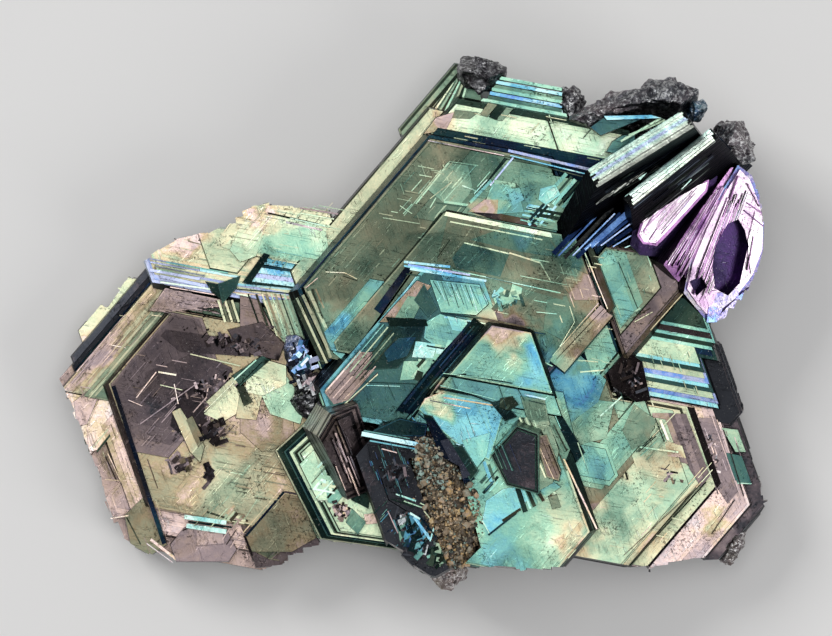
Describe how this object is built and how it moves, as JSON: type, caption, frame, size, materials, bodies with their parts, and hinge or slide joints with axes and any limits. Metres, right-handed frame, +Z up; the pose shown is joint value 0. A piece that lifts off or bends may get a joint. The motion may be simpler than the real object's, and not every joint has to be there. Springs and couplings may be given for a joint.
{
  "type": "polybasite crystal specimen",
  "caption": "Flat cluster of stepped six-sided tabular polybasite crystals with blue-green tarnish, steep blades at one corner and a brown-gold crust, lying on its back.",
  "frame": {"origin": "middle of the specimen's outline, on the surface it lies on", "axes": "+Z up out of the crystal faces, +X toward the right-hand crystal along the longest extent, +Y toward the end with the main crystal's back edge"},
  "size_m": [0.0434, 0.0321, 0.0123],
  "materials": {
    "polybasite": "metallic, tarnished blue, green, gold and violet",
    "crust": "dull, grainy"
  },
  "bodies": {
    "root": {"crystal_cluster": "polybasite", "brown_crust": "crust"}
  },
  "joints": []
}
